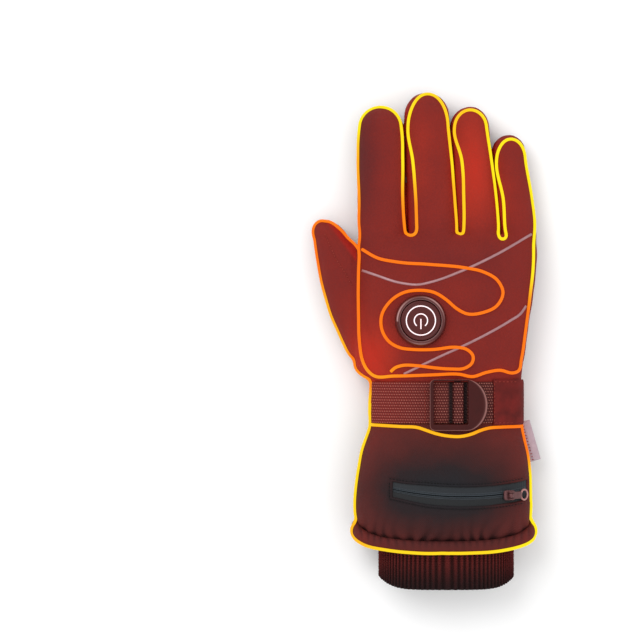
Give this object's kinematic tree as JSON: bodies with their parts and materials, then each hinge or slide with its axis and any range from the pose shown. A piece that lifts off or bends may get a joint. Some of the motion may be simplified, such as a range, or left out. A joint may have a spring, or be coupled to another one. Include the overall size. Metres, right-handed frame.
{
  "type": "heated glove",
  "caption": "Right-hand padded winter glove with a long gauntlet, buckled wrist strap, zip pocket, knit inner cuff, round power switch and glowing heating wires.",
  "frame": {"origin": "middle of the glove's outline on the surface that the palm lies on", "axes": "+Y towards the fingertips, +X towards the little finger, +Z out of the back of the hand"},
  "size_m": [0.1404, 0.3024, 0.0475],
  "materials": {
    "softshell": "finely woven softshell, warm red tint of the heat over charcoal",
    "palm_leather": "matt synthetic leather",
    "grip_print": "synthetic leather with a glossy hexagon print",
    "gauntlet_nylon": "smooth padded nylon, charcoal at the zip and dark red at the sides",
    "knit": "ribbed knit",
    "webbing": "twill webbing",
    "buckle_plastic": "satin moulded plastic",
    "switch_silicone": "satin silicone",
    "switch_light": "translucent white",
    "reflective_piping": "reflective tape",
    "zip_cloth": "coated zip tape with fine teeth",
    "zip_metal": "dark lacquer",
    "label_cloth": "plain woven ribbon",
    "heating_wire": "glowing wire sheath"
  },
  "bodies": {
    "glove": {"back_panel": "softshell", "palm_panel": "palm_leather", "grip_panel": "grip_print", "thumb_web_panel": "palm_leather", "thumb_sleeve": "softshell", "gauntlet_sleeve": "gauntlet_nylon", "hem_roll": "gauntlet_nylon", "knit_cuff": "knit", "strap_webbing": "webbing", "strap_anchor": "webbing", "strap_patch": "palm_leather", "buckle": "buckle_plastic", "switch_housing": "switch_silicone", "reflective_piping_upper": "reflective_piping", "reflective_piping_lower": "reflective_piping", "zip_tape_upper": "zip_cloth", "zip_tape_lower": "zip_cloth", "zip_slider": "zip_metal", "side_label": "label_cloth", "heating_wire_hand": "heating_wire", "heating_wire_back": "heating_wire", "heating_wire_edge": "heating_wire", "heating_wire_wrist": "heating_wire"},
    "switch_button": {"switch_cap": "switch_silicone", "switch_light_ring": "switch_light", "switch_symbol_arc": "switch_light", "switch_symbol_bar": "switch_light"},
    "zip_tab": {"zip_pull": "zip_metal"}
  },
  "joints": [
    {"name": "switch_press", "type": "slide", "parent": "glove", "child": "switch_button", "axis": [0, 0, -1], "range_m": [0, 0.0008], "stiffness_N_per_m": 800},
    {"name": "zip_tab_hinge", "type": "hinge", "parent": "glove", "child": "zip_tab", "pos_m": [0.05037, -0.09394, 0.04157], "axis": [0, -1, 0], "range_deg": [0, 140]}
  ]
}
